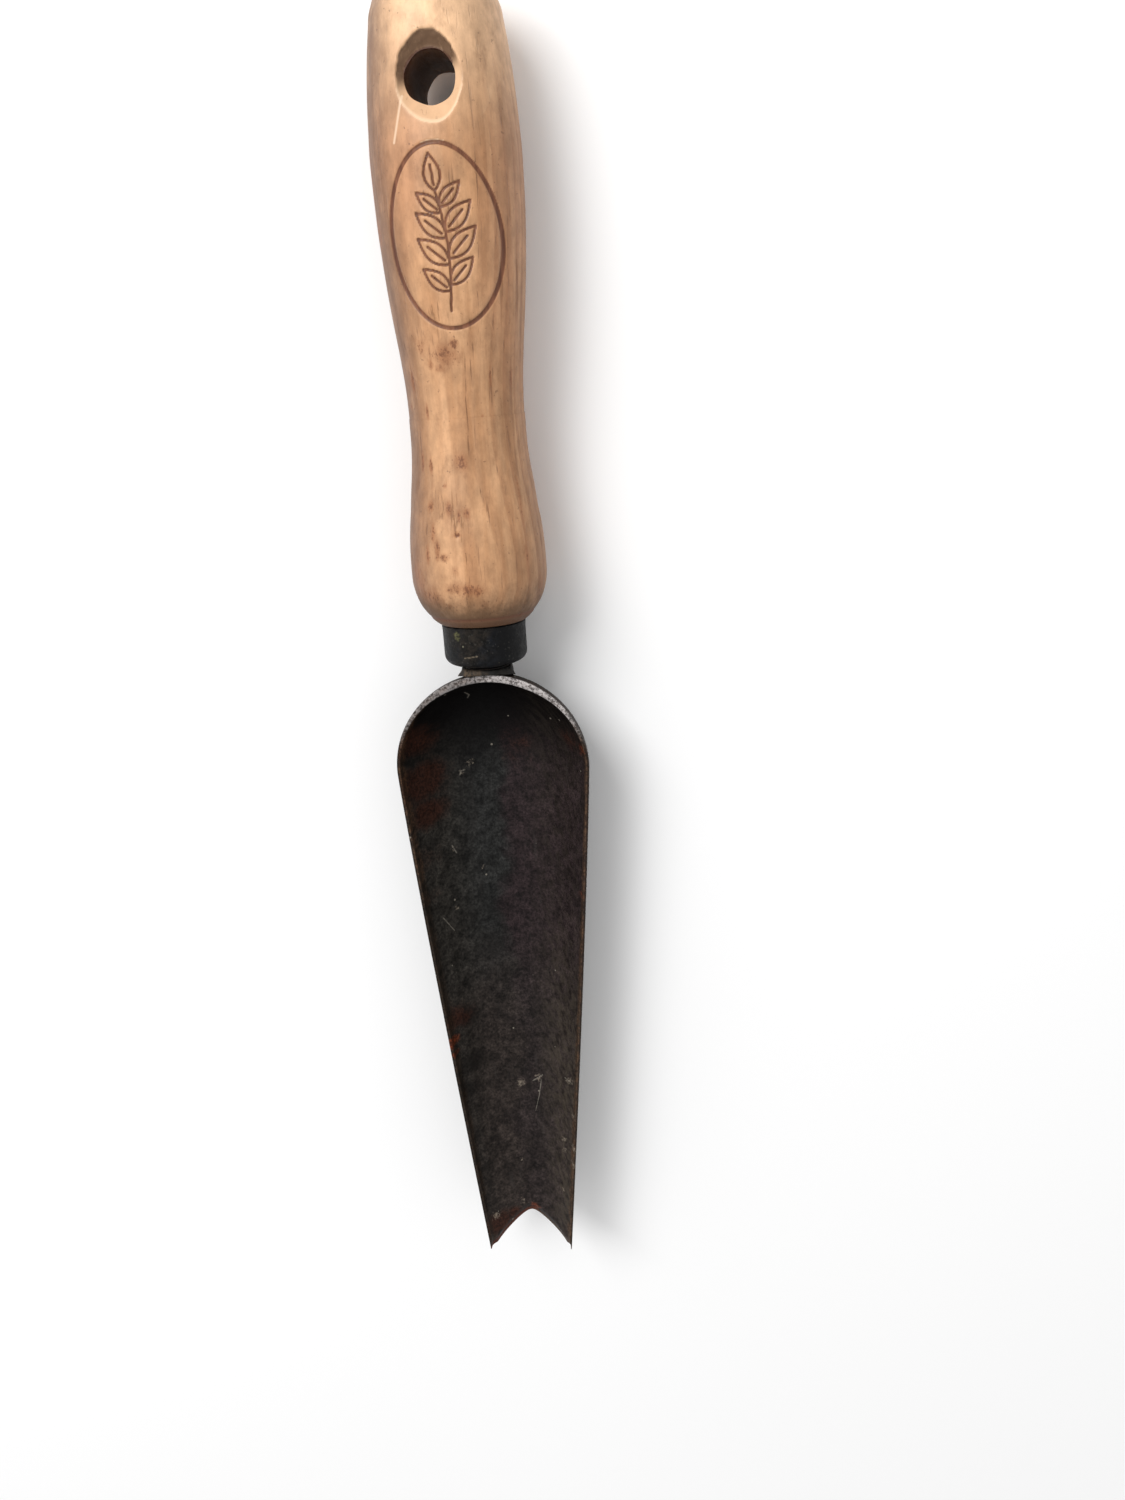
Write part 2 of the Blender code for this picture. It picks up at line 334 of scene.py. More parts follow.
def smooth_curve(knots, steps):
    """Points on a smooth curve through the knots."""
    padded = np.concatenate([knots[:1], knots, knots[-1:]])
    curve = []
    for before, start, end, after in zip(padded, padded[1:], padded[2:], padded[3:]):
        for share in np.arange(steps) / steps:
            slope_in, slope_out = (end - before) / 2, (after - start) / 2
            square, cube = share**2, share**3
            curve.append(
                (2 * cube - 3 * square + 1) * start
                + (cube - 2 * square + share) * slope_in
                + (3 * square - 2 * cube) * end
                + (cube - square) * slope_out
            )
    return np.array(curve + [knots[-1]])


def handle_side():
    """The handle's outer side as (place along the tool, radius), from the butt's middle to the shoulder."""
    rings = rings_of("handle")
    outer = rings[(rings[:, 1] > FERRULE_HIGH.x) | (rings[:, 0] > BUTT_Y - 8 * MM)]
    outer = outer[np.argsort(-outer[:, 0] * 100 + outer[:, 1])]
    side = smooth_curve(outer, 24)
    lengths = np.concatenate([[0], np.cumsum(np.hypot(*np.diff(side, axis=0).T))])

    def step_at(length):
        along = np.interp(length, lengths, side[:, 0])
        if STAMP_Y - STAMP_HALF[1] - MM < along < HOLE_Y + 11 * MM:
            return 0.26 * MM
        return 0.45 * MM if along > HOLE_Y or along < SHOULDER_Y + 5 * MM else 0.7 * MM

    at = spread(0, lengths[-1], step_at)
    fine = np.stack([np.interp(at, lengths, side[:, 0]), np.interp(at, lengths, side[:, 1])], axis=1)
    butt = [(BUTT_Y, radius) for radius in np.linspace(0, fine[0, 1], 12)[:-1]]
    return np.concatenate([butt, fine])


def handle_inside():
    """The tenon and the tang's bore, from the shoulder in, as the CAD has them."""
    rings = rings_of("handle")
    inner = rings[rings[:, 1] < FERRULE_HIGH.x]
    tenon_radius = inner[inner[:, 0] < SHOULDER_Y - MM][:, 1].max()
    bore_radius = inner[inner[:, 0] < SHOULDER_Y - MM][:, 1].min()
    tip = inner[inner[:, 1].argmin()]
    return np.array(
        [
            (SHOULDER_Y, tenon_radius),
            (HANDLE_LOW.y, tenon_radius),
            (HANDLE_LOW.y, bore_radius),
            (SHOULDER_Y, bore_radius),
            (tip[0], tip[1]),
            (tip[0], 0),
        ]
    )


def leaf_lines(base, heading, length, width):
    """Outline and midrib of a pointed leaf, as lists of points."""
    shares = np.linspace(0, 1, 14)
    ahead = np.array([math.cos(heading), math.sin(heading)])
    aside = np.array([-ahead[1], ahead[0]])
    swell = np.sin(np.pi * shares**0.85) * width / 2
    middle = base + shares[:, None] * length * ahead
    rib = middle[(shares > 0.1) & (shares < 0.74)]
    return [middle + swell[:, None] * aside, middle - swell[:, None] * aside, rib]


def sprig_lines():
    """The sprig's stem and leaves, in metres from the stamp's middle, with +y towards the butt."""
    along = np.linspace(-15, 9.2, 24)

    def stem_x(place):
        return 1.1 * np.sin((place + 13) / 22 * np.pi) - 0.4

    stem = np.stack([stem_x(along), along], axis=1)
    lines = [stem]
    for place, length in ((-10.3, 7.4), (-5, 8.6), (0.4, 8.2), (5.4, 6.6)):
        for side in (-1, 1):
            base = np.array([stem_x(place + side * 0.6), place + side * 0.6])
            heading = math.pi / 2 - side * math.radians(47)
            lines += leaf_lines(base, heading, length, length * 0.44)
    lines += leaf_lines(stem[-1], math.radians(93), 7.4, 3.5)
    return [line * MM for line in lines]


def distance_to_lines(points, lines):
    """The distance from each point to the nearest of these polylines."""
    nearest = np.full(len(points), np.inf)
    for line in lines:
        for start, end in zip(line, line[1:]):
            run = end - start
            share = np.clip((points - start) @ run / (run @ run), 0, 1)
            nearest = np.minimum(nearest, np.hypot(*(points - start - share[:, None] * run).T))
    return nearest


def stamp_mask(points):
    """How deep in a groove of the stamp each point is, from 0 to 1."""
    mask = np.zeros(len(points))
    offset = points[:, :2] - (STAMP_X, STAMP_Y)
    c, s = math.cos(STAMP_TURN), math.sin(STAMP_TURN)
    local = offset @ np.array([[c, -s], [s, c]])
    scaled = np.hypot(*(local / STAMP_HALF).T)
    near = (points[:, 2] > AXIS_Z) & (scaled < 1.1)
    local, scaled = local[near], scaled[near]
    gradient = np.hypot(*(local / np.square(STAMP_HALF)).T) / np.maximum(scaled, 1e-3)
    ring = np.abs(scaled - 1) / gradient
    sprig = distance_to_lines(local, sprig_lines())
    shrunk = np.minimum(ring * 0.62, sprig)
    mask[near] = 1 - smooth_step(STAMP_LINE * 0.45, STAMP_LINE * 1.25, shrunk)
    return mask


def countersink(points):
    """The points with both mouths of the hole opened out, with an edge that is worn and a little torn."""
    offset = points - (0, HOLE_Y, AXIS_Z)
    away = np.hypot(offset[:, 0], offset[:, 1])
    near = (away < HOLE_REACH + MM) & (np.abs(offset[:, 2]) > 5 * MM)
    upward = offset[near, 1] / np.maximum(away[near], MM)
    rough = smooth_step(-0.2, 0.6, upward - 0.4 * offset[near, 0] / (10 * MM))
    torn = lumps(points[near], 2.1 * MM, 3) * (0.06 + 0.22 * rough) * MM
    torn += lumps(points[near], 1.0 * MM, 5) * 0.16 * rough * MM
    torn += lumps(points[near], 6 * MM, 4) * 0.35 * MM
    leftward = -offset[near, 0] / np.maximum(away[near], MM)
    tilt = np.square(np.minimum(upward, 0)) * 0.9 * MM
    tilt -= smooth_step(-0.1, 1, upward + 0.35 * leftward) * 0.75 * MM
    cone = HOLE_NARROW + (away[near] - HOLE_RADIUS) / HOLE_SLOPE + torn + tilt
    cone = np.maximum(cone, HOLE_NARROW - 0.5 * MM)
    height = np.abs(offset[near, 2])
    lowered = (height + cone - np.sqrt((height - cone) ** 2 + SOFT_EDGE**2)) / 2
    lowered = np.minimum(lowered, height)
    offset[near, 2] = np.sign(offset[near, 2]) * lowered
    return offset + (0, HOLE_Y, AXIS_Z)


def hole_cutter():
    turns = np.linspace(0, 2 * np.pi, 97)
    heights = np.linspace(-22 * MM, 22 * MM, 45)
    turn, height = np.meshgrid(turns, heights)
    wobble = 0.12 * MM * np.sin(3 * turn + height * 300) + 0.06 * MM * np.sin(7 * turn)
    radius = HOLE_RADIUS + wobble
    wall = np.stack([radius * np.cos(turn), HOLE_Y + radius * np.sin(turn), AXIS_Z + height], axis=2)
    caps = []
    for ring in (wall[0], wall[-1]):
        middle = np.broadcast_to((0, HOLE_Y, ring[0, 2]), ring.shape)
        caps.append(np.stack([middle, ring]))
    return mesh_of_grids("hole_cutter", [wall, *caps])


def cut_out(mesh, cutter_mesh):
    """The mesh less the cutter."""
    body = link(bpy.data.objects.new("body", mesh))
    cutter = link(bpy.data.objects.new("cutter", cutter_mesh))
    boolean = body.modifiers.new("cut", "BOOLEAN")
    boolean.operation = "DIFFERENCE"
    boolean.solver = "MANIFOLD"
    boolean.object = cutter
    graph = bpy.context.evaluated_depsgraph_get()
    result = bpy.data.meshes.new_from_object(body.evaluated_get(graph))
    bpy.data.objects.remove(body)
    bpy.data.objects.remove(cutter)
    return result


def foot_line(points):
    """The fine turned line a little above the handle's foot, 1 in its middle."""
    return np.exp(-(((points[:, 1] - FOOT_LINE_Y) / (0.32 * MM)) ** 2))


def handle_blank():
    """The handle as it leaves the lathe, with finer faces on top, where the stamp is."""
    profile = np.concatenate([handle_side(), handle_inside()])

    def turn_step(turn):
        return math.radians(0.95 if abs(turn - math.pi / 2) < math.radians(58) else 2.4)

    turns = spread(-math.pi / 2, 1.5 * math.pi, turn_step)
    radius = profile[:, 1][:, None] * np.ones_like(turns)
    grid = np.stack(
        [
            radius * np.cos(turns),
            profile[:, 0][:, None] * np.ones_like(turns),
            AXIS_Z + radius * np.sin(turns),
        ],
        axis=2,
    )
    return mesh_of_grids("handle_wood", [grid])


def handle_relief(points, outside):
    """How far the surface stands out at each point: lumps, pits, stamp, foot line and nick."""
    x, y, z = points.T
    depth = lumps(points * (1, 0.35, 1), 9 * MM, 1) * 0.10 * MM
    depth += lumps(points * (1, 0.35, 1), 2.2 * MM, 2) * 0.025 * MM
    pits = smooth_step(0.52, 0.72, lumps(points * (1, 0.6, 1), 0.9 * MM, 6))
    low_part = 1 - smooth_step(SHOULDER_Y + 25 * MM, SHOULDER_Y + 50 * MM, y)
    depth -= pits * low_part * 0.12 * MM
    depth -= stamp_mask(points) * STAMP_DEPTH
    depth -= foot_line(points) * 0.25 * MM
    nick = np.hypot((x - NICK_X) / 1.6, (y - NICK_Y) / 0.8)
    depth -= (1 - smooth_step(0.2 * MM, 0.5 * MM, nick)) * (z > AXIS_Z) * 0.35 * MM
    return depth * outside


def handle_mesh():
    mesh = handle_blank()
    points = points_of(mesh)
    outward = points - AXIS
    outward[:, 1] = 0
    reach = np.hypot(outward[:, 0], outward[:, 2])
    outward /= np.maximum(reach, 1e-6)[:, None]
    outside = (points[:, 1] > SHOULDER_Y + 0.5 * MM) & (reach > 6 * MM)
    points = points + outward * handle_relief(points, outside)[:, None]
    move_points(mesh, countersink(points))
    mesh = cut_out(mesh, hole_cutter())
    mesh.name = "handle_wood"
    mark_handle(mesh)
    return mesh


def mark_handle(mesh):
    """Masks for the handle's material, worked out from where each point is."""
    points = points_of(mesh)
    y = points[:, 1]
    offset = points - AXIS
    radius = np.hypot(offset[:, 0], offset[:, 2])
    store(mesh, "burn", stamp_mask(points))
    mark_hole(mesh, points, radius)
    store(mesh, "foot", 1 - smooth_step(0, 12 * MM, y - SHOULDER_Y))
    store(mesh, "line", foot_line(points))
    turn = np.degrees(np.arctan2(offset[:, 2], offset[:, 0]))
    store(mesh, "spots", handle_spots(points, turn))
    # The left and right sides: masks for painted shade, with handling stains on the left and stronger grain
    # on the right.
    store(mesh, "left", smooth_step(102, 152, np.abs(turn)))
    store(mesh, "right", smooth_step(72, 30, np.abs(turn)))


def mark_hole(mesh, points, radius):
    """Masks for the bore, the countersinks, a painted highlight on their lower edge and painted shade on
    the top countersink's upper wall.
    """
    x, y, z = points.T
    away = np.hypot(x, y - HOLE_Y)
    in_bore = (away < HOLE_RADIUS + 0.3 * MM) & (radius < 14.2 * MM)
    store(mesh, "bore", in_bore.astype(float))
    whole = np.interp(y, *np.flip(handle_side(), axis=0).T)
    lost = whole - radius
    in_cone = (away < HOLE_REACH) * (radius > 12 * MM)
    sunk = smooth_step(0.15 * MM, 0.5 * MM, lost) * in_cone
    store(mesh, "sink", sunk)
    # Painted highlight: the countersinks' lower edge, which faces the light.
    painted_lip_highlight = smooth_step(0.03 * MM, 0.12 * MM, lost) * smooth_step(0.60 * MM, 0.25 * MM, lost)
    painted_lip_highlight *= in_cone * smooth_step(0.1, -0.5, (y - HOLE_Y) / (8 * MM))
    store(mesh, "painted_lip_highlight", painted_lip_highlight)
    # Painted shade: the upper wall of the top countersink, which faces away from the light.
    upward = (y - HOLE_Y - 0.3 * x) / np.maximum(away, MM)
    store(mesh, "painted_dark_shade", sunk * smooth_step(-0.25, 0.45, upward) * (z > AXIS_Z))


def handle_spots(points, turn):
    """How strongly each point is dirtied, from the list of spots."""
    y = points[:, 1]
    spots = np.zeros(len(points))
    for at_turn, along, wide, long, strength in HANDLE_SPOTS:
        aside = math.pi / 180 * (turn - at_turn) * SPOT_RADIUS / (wide * MM)
        ahead = (y - SHOULDER_Y - along * MM) / (long * MM)
        spots = np.maximum(spots, strength * np.exp(-(aside**2 + ahead**2)))
    return spots


SPOT_RADIUS = 15 * MM  # of the handle, for a spot's width

# Dirt on the handle: degrees from +X, millimetres from the shoulder, half width, half length, strength.
HANDLE_SPOTS = (
    (88, 64, 1.2, 1.2, 1), (97, 62, 1.2, 1.1, 1), (96, 62, 3.6, 2.6, 0.75),
    (103, 59, 1.8, 0.8, 0.65), (111, 60, 0.9, 1.2, 0.75), (120, 64, 1.4, 2.2, 0.6),
    (138, 57, 1, 3, 0.75), (149, 51, 0.6, 0.7, 1), (122, 50, 0.5, 2, 0.85),
    (133, 39, 0.5, 2.4, 0.9), (122, 38, 0.7, 1.9, 0.9), (90, 38.5, 1.8, 2.3, 0.8),
    (89, 39, 0.7, 1.4, 0.95), (107, 33.5, 0.6, 0.6, 0.85), (104, 28.5, 0.7, 1.7, 0.9),
    (123, 29, 1, 1.2, 0.85), (95, 26.5, 0.4, 1.6, 0.9), (88, 27, 1, 1.6, 0.85),
    (97, 22.6, 0.9, 0.5, 1.4), (120, 23, 0.6, 2.6, 0.85), (127, 18, 0.6, 2.4, 0.9),
    (116, 19, 0.9, 2.6, 0.8), (110, 17.5, 1.4, 1.1, 0.85), (101, 14.5, 1.1, 1.3, 0.5),
    (92, 10, 2, 1.5, 0.95), (96, 10, 5, 1.8, 0.6), (128, 8, 5.5, 3, 0.55),
    (142, 12, 3, 5, 0.5), (84, 9.5, 1.3, 1.3, 0.95), (107, 10, 2.2, 0.8, 0.55),
    (111, 6, 0.6, 0.6, 1), (79, 6, 1.3, 2, 0.55), (66, 48.5, 0.5, 0.4, 1.1),
    (31, 56, 0.5, 2.4, 0.9), (56, 56, 0.4, 2.4, 0.7), (36, 29, 0.4, 8, 0.6),
    (37, 15, 0.5, 5.5, 0.6), (17, 7, 1.4, 3, 0.7), (158, 88, 1.5, 3, 0.8),
    (165, 100, 1.6, 7, 0.8),
)


def growth_rings(look):
    """The rings' early wood: 1 in each ring, and 0 between them."""
    rings = look.node(
        "TexWave",
        {
            "Vector": look.place(scale=(1, 0.05, 1), shift=(-0.021, 0, 0.045)),
            "Scale": 105,
            "Distortion": 2,
            "Detail": 2,
            "Detail Scale": 0.9,
            "Detail Roughness": 0.55,
        },
        wave_type="RINGS",
        rings_direction="Y",
        wave_profile="SAW",
    ).outputs["Fac"]
    return look.times(look.range(rings, 0.35, 0.9), look.range(rings, 0.93, 1, 1, 0))


def clean_ash(look, along_grain, fibre, early, pores, right):
    """The bare wood: streaks, rings, fibres and pores, paler towards the butt."""
    streak = look.noise(along_grain, 260, 3, 0.55, 0.3)
    broad = look.noise(look.place(scale=(1, 0.3, 1)), 42, 2, 0.5)
    dark_line = look.range(look.noise(along_grain, 430, 2, 0.5), 0.60, 0.74)
    fresh = look.range(look.axes()[1], BUTT_Y - 40 * MM, BUTT_Y - 8 * MM)
    base = look.mix(look.range(streak, 0.35, 0.70), colour(205, 158, 117), colour(180, 132, 92))
    base = look.tint(base, early, look.range(right, 0, 1, 0.25, 0.6), (160, 110, 74))
    base = look.tint(base, look.range(fibre, 0.4, 0.7), 0.35, (170, 124, 88))
    base = look.tint(base, look.range(broad, 0.45, 0.75), 0.4, (194, 138, 104))
    base = look.tint(base, pores, 0.55, (112, 74, 48))
    base = look.tint(base, dark_line, look.range(right, 0, 1, 0.15, 0.6), (128, 84, 54))
    base = look.tint(base, fresh, 0.85, (246, 202, 160))
    cloudy = look.noise(look.place(scale=(1, 0.6, 1)), 420, 4, 0.65)
    base = look.vary(base, cloudy, 0.3, 0.7, 0.88, 1.12)
    uneven = look.noise(look.place(scale=(1, 0.5, 1)), 95, 3, 0.5)
    return look.vary(base, uneven, 0.3, 0.7, 0.86, 1.10)


def soiled_with_painted_shade(look, base, dirt, grime, right):
    """The wood with spots, a grimy foot, small pits, a darker band above the ferrule, and painted shade on
    both sides, over handling stains on the left, and in the turned line.
    """
    # Painted shade with handling stains: the left side is darkened.
    handling_stains_and_painted_shade = look.times(look.attribute("left"), look.range(dirt, 0.15, 0.6, 0.60, 1))
    base = look.tint(base, handling_stains_and_painted_shade, 0.84, (100, 70, 53))
    # Painted shade: the right side, away from the light, is darkened.
    shaded = look.times(right, look.range(dirt, 0.15, 0.6, 0.6, 1))
    base = look.tint(base, shaded, 0.36, (108, 74, 46))
    spots = look.attribute("spots")
    halo = look.range(look.plus(spots, look.times(dirt, 1.3)), 0.65, 1.45)
    base = look.tint(base, halo, 0.62, (150, 94, 58))
    gritty = look.noise(look.place(scale=(1, 0.6, 1)), 1500, 3, 0.7)
    spotted = look.plus(spots, look.times(gritty, 2.8), look.times(dirt, 0.4))
    base = look.tint(base, look.range(spotted, 2.10, 2.60), 0.66, (96, 54, 34))
    base = look.tint(base, grime, 0.85, (84, 60, 38))
    collar = look.range(look.axes()[1], SHOULDER_Y + 0.5 * MM, SHOULDER_Y + 4.0 * MM, 0.75, 0)
    base = look.mix(collar, base, colour(92, 62, 42))
    # Painted shade: the turned line is darkened, as the shade in its groove.
    base = look.tint(base, look.attribute("line"), 0.7, (104, 60, 42))
    specks = look.range(look.noise(look.where, 900, 3, 0.6), 0.66, 0.72)
    pits = look.times(specks, look.range(look.attribute("foot"), -0.6, 0.3))
    return look.tint(base, pits, 0.6, (80, 52, 38))


def cut_marks(look, base, dirt, fibre):
    """The wood with the countersink, its painted highlight and painted shade, the bore darkened as painted
    shade, a scratch beside them drawn as a painted highlight, and the burnt stamp.
    """
    base = look.tint(base, look.attribute("sink"), 0.6, (226, 186, 146))
    # Painted highlight: the countersinks' lower edge is made paler, where it faces the light.
    base = look.tint(base, look.attribute("painted_lip_highlight"), 0.7, (244, 212, 176))
    # Painted shade: the top countersink's upper wall is darkened, where it faces away from the light.
    painted_dark_shade = look.times(look.attribute("painted_dark_shade"), look.range(dirt, 0.2, 0.5, 0.6, 1))
    base = look.tint(base, painted_dark_shade, 0.92, (88, 62, 42))
    # Painted shade: the bore's wall is darkened, as the inside of the hole.
    base = look.tint(base, look.attribute("bore"), 0.92, (76, 42, 22))
    # Painted highlight: a scratch beside the hole, drawn as a bright line where it catches the light.
    on_top = look.maths("GREATER_THAN", look.axes()[2], AXIS_Z)
    nick = look.times(look.scratch((-6, 132.5), (-8.6, 123.6), 0.5), on_top)
    base = look.tint(base, nick, 0.55, (240, 212, 182))
    burn = look.range(look.attribute("burn"), 0.15, 0.9)
    scorched = look.mix(look.range(fibre, 0.35, 0.7), colour(84, 44, 28), colour(124, 76, 52))
    return look.mix(look.times(burn, 0.92), base, scorched)


def ash_look():
    look = Look("oiled_ash")
    along_grain = look.place(scale=(1, 0.045, 1))
    fibre = look.noise(along_grain, 900, 4, 0.6)
    early = growth_rings(look)
    pores = look.times(look.range(look.noise(along_grain, 1700, 2, 0.6), 0.56, 0.70), early)
    dirt = look.noise(look.place(scale=(1, 0.5, 1)), 300, 5, 0.7)
    grime = look.range(look.plus(look.attribute("foot"), look.times(dirt, 1.2)), 0.50, 1.50)
    right = look.attribute("right")
    base = clean_ash(look, along_grain, fibre, early, pores, right)
    base = soiled_with_painted_shade(look, base, dirt, grime, right)
    base = cut_marks(look, base, dirt, fibre)
    rough = look.range(look.plus(look.times(fibre, 0.5), look.times(grime, 0.3)), 0, 1, 0.42, 0.78)
    height = look.plus(look.times(fibre, 0.6), look.times(pores, -0.8), look.times(dirt, 0.2))
    normal = look.bump(height, 0.00012)
    return look.surface(Base_Color=base, Roughness=rough, Normal=normal, Specular_IOR_Level=0.35)


# The ferrule, the tang and the weld


def turned_mesh(name, outline, columns):
    """A closed outline of (place along the tool, radius), spun about the handle's axis."""
    turns = np.linspace(0, 2 * np.pi, columns + 1)
    along = outline[:, 0][:, None] * np.ones_like(turns)
    radius = outline[:, 1][:, None] * np.ones_like(turns)
    grid = np.stack([radius * np.cos(turns), along, AXIS_Z + radius * np.sin(turns)], axis=2)
    return mesh_of_grids(name, [grid])


def dense(outline, step):
    """The outline with points added, so that none are further apart than step."""
    points = [outline[0]]
    for start, end in zip(outline, outline[1:]):
        count = max(1, math.ceil(math.dist(start, end) / step))
        points += [start + (end - start) * share for share in np.arange(1, count + 1) / count]
    return np.array(points)


def ferrule_outline():
    """The cup's section: mouth, side, rounded corner, domed bottom, hole and inside."""
    mouth, bottom = FERRULE_HIGH.y, FERRULE_LOW.y
    radius = FERRULE_HIGH.x
    corner, dome, wall = 2.4 * MM, 0.7 * MM, 1.4 * MM
    flare = 0.12 * MM
    hole = TANG_HIGH.x - 1.2 * MM + GAP
    edge = 0.25 * MM
    points = [
        (mouth, radius - wall),
        (mouth, radius + flare - edge),
        (mouth - edge, radius + flare),
        (mouth - 1.6 * MM, radius),
    ]
    for turn in np.linspace(0, np.pi / 2, 10):
        points.append(
            (bottom + dome + corner * (1 - math.sin(turn)), radius - corner * (1 - math.cos(turn)))
        )
    points += [
        (bottom, TANG_HIGH.x + GAP),
        (bottom, hole),
        (bottom + dome + wall, hole),
        (bottom + dome + wall, radius - wall),
        (mouth, radius - wall),
    ]
    return dense(np.array(points), 0.35 * MM)


def ferrule_mesh():
    mesh = turned_mesh("ferrule_cup", ferrule_outline(), 150)
    points = points_of(mesh)
    normals = normals_of(mesh)
    depth = lumps(points, 3.5 * MM, 11) * 0.05 * MM + lumps(points, 1.1 * MM, 12) * 0.02 * MM
    move_points(mesh, points + normals * depth[:, None])
    return mesh


def blackened_look():
    look = Look("blackened_steel")
    mottle = look.noise(look.where, 520, 6, 0.75)
    patch = look.noise(look.where, 110, 3, 0.6)
    grain = look.noise(look.where, 1700, 3, 0.7)
    base = look.mix(look.range(patch, 0.4, 0.62), colour(11, 13, 17), colour(24, 20, 16))
    base = look.vary(base, mottle, 0.36, 0.64, 0.15, 2.3)
    across = look.axes()[0]
    # Painted shade: the cup is darkened along both sides, much more on the right, away from the light.
    painted_side_shade = look.most(
        look.range(across, 1 * MM, 7 * MM, 0, 0.95),
        look.range(across, -9 * MM, -5 * MM, 0.40, 0),
    )
    base = look.mix(painted_side_shade, base, colour(6, 6, 7))
    base = look.tint(base, look.range(grain, 0.60, 0.70), 0.35, (92, 90, 84))
    chips = look.most(look.specks(430, 0.09, 0.16), look.specks(800, 0.16, 0.06))
    base = look.tint(base, chips, 0.6, (120, 116, 98))
    scrape = look.times(look.scratch((-3.8, 10.9), (-0.6, 11.4), 0.35), look.range(grain, 0.3, 0.6))
    base = look.tint(base, scrape, 0.6, (120, 108, 90))
    moss = look.times(look.scratch((-5.4, 16.8), (-5.2, 15.6), 1.3), look.range(grain, 0.35, 0.6))
    base = look.tint(base, moss, 0.6, (104, 102, 66))
    rough = look.range(mottle, 0.3, 0.7, 0.4, 0.62)
    normal = look.bump(look.plus(mottle, look.times(grain, 0.3)), 0.0002)
    return look.surface(
        Base_Color=base, Roughness=rough, Normal=normal, Metallic=0, Specular_IOR_Level=0.14
    )


def behind_bowl(points):
    """How far along the tool the back of the bowl stands at each point, with the neck's gap to it."""
    down = (BLADE_HIGH.z - RIM_LAND - points[:, 2]) / (BLADE_DEPTH - RIM_LAND)
    level = (BOWL_RADIUS + GAP) * np.sqrt(1 - np.clip(down, 0, 1) ** 2)
    return BOWL_Y + np.sqrt(np.maximum(level**2 - points[:, 0] ** 2, 0))


def tang_mesh():
    rings = rings_of("tang")
    rings = rings[np.argsort(-rings[:, 0] * 100 + rings[:, 1])]
    collar = FERRULE_LOW.y - GAP
    neck = TANG_HIGH.x
    stem = rings[rings[:, 1] < neck - 0.5 * MM][:, 1].max()
    tip_y, tip_radius = rings[0]
    outline = np.array(
        [
            (tip_y, 0),
            (tip_y, tip_radius),
            (SHOULDER_Y, stem),
            (collar, stem),
            (collar, neck),
            (WELD_LOW.y + 0.6 * MM, neck),
            (WELD_LOW.y + 0.6 * MM, 0),
        ]
    )
    mesh = turned_mesh("tang_forging", dense(outline, 0.4 * MM), 72)
    points = points_of(mesh)
    points[:, 1] = np.maximum(points[:, 1], behind_bowl(points))
    move_points(mesh, points)
    return mesh


def forged_look():
    look = Look("forged_steel")
    mottle = look.noise(look.where, 420, 5, 0.65)
    base = look.mix(look.range(mottle, 0.35, 0.7), colour(30, 27, 26), colour(62, 50, 42))
    rough = look.range(mottle, 0.3, 0.7, 0.45, 0.7)
    normal = look.bump(mottle, 0.00015)
    return look.surface(Base_Color=base, Roughness=rough, Normal=normal, Metallic=0.5)


def weld_mesh():
    """The bead: its section from the CAD's own rings, cut by the bowl, with a lumpy surface."""
    shape = bmesh.new()
    shape.from_mesh(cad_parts["neck_weld"].data)
    bmesh.ops.remove_doubles(shape, verts=shape.verts, dist=MERGE)
    bmesh.ops.triangulate(shape, faces=shape.faces)
    bmesh.ops.subdivide_edges(shape, edges=shape.edges, cuts=2, use_grid_fill=True)
    bmesh.ops.triangulate(shape, faces=shape.faces)
    mesh = bpy.data.meshes.new("weld_bead")
    shape.to_mesh(mesh)
    shape.free()
    points = points_of(mesh)
    normals = normals_of(mesh)
    outside = np.hypot(points[:, 0], points[:, 2] - AXIS_Z) > TANG_HIGH.x + GAP + 0.1 * MM
    depth = lumps(points, 1.4 * MM, 21) * 0.22 * MM
    blob = np.hypot(points[:, 0] + 2.4 * MM, points[:, 1] - WELD_HIGH.y + 1.2 * MM)
    depth += np.exp(-((blob / (1.5 * MM)) ** 2)) * (points[:, 2] > AXIS_Z) * 0.3 * MM
    points = points + normals * (depth * outside)[:, None]
    flare = smooth_step(WELD_HIGH.y + 0.2 * MM, WELD_HIGH.y - 2.6 * MM, points[:, 1])
    above = points[:, 2] - AXIS_Z
    crest = smooth_step(0.4 * MM, 3.2 * MM, above)
    points[:, 0] *= 1 + 0.30 * crest * flare * outside
    points[:, 1] = np.maximum(points[:, 1], behind_bowl(points))
    move_points(mesh, points)
    return mesh


def weld_look():
    look = Look("weld_steel")
    mottle = look.noise(look.where, 700, 5, 0.7)
    patch = look.noise(look.where, 260, 3, 0.6)
    base = look.mix(look.range(mottle, 0.35, 0.7), colour(16, 14, 13), colour(70, 60, 50))
    base = look.mix(look.range(patch, 0.5, 0.7), base, colour(56, 42, 32))
    # Painted shade: the bead's right side is darkened, away from the light.
    right = look.range(look.axes()[0], -1 * MM, 3 * MM)
    base = look.tint(base, right, 0.7, (20, 20, 19))
    blob = look.times(look.scratch((-4.2, 5.9), (-1.2, 5.6), 2.6), look.range(mottle, 0.38, 0.62))
    base = look.tint(base, blob, 0.7, (96, 80, 62))
    rough = look.range(mottle, 0.3, 0.7, 0.5, 0.75)
    normal = look.bump(look.plus(mottle, patch), 0.0002)
    return look.surface(
        Base_Color=base, Roughness=rough, Normal=normal, Metallic=0, Specular_IOR_Level=0.25
    )


# The blade


def taper(wide, narrow, share):
    return wide + (narrow - wide) * share**TAPER_POWER


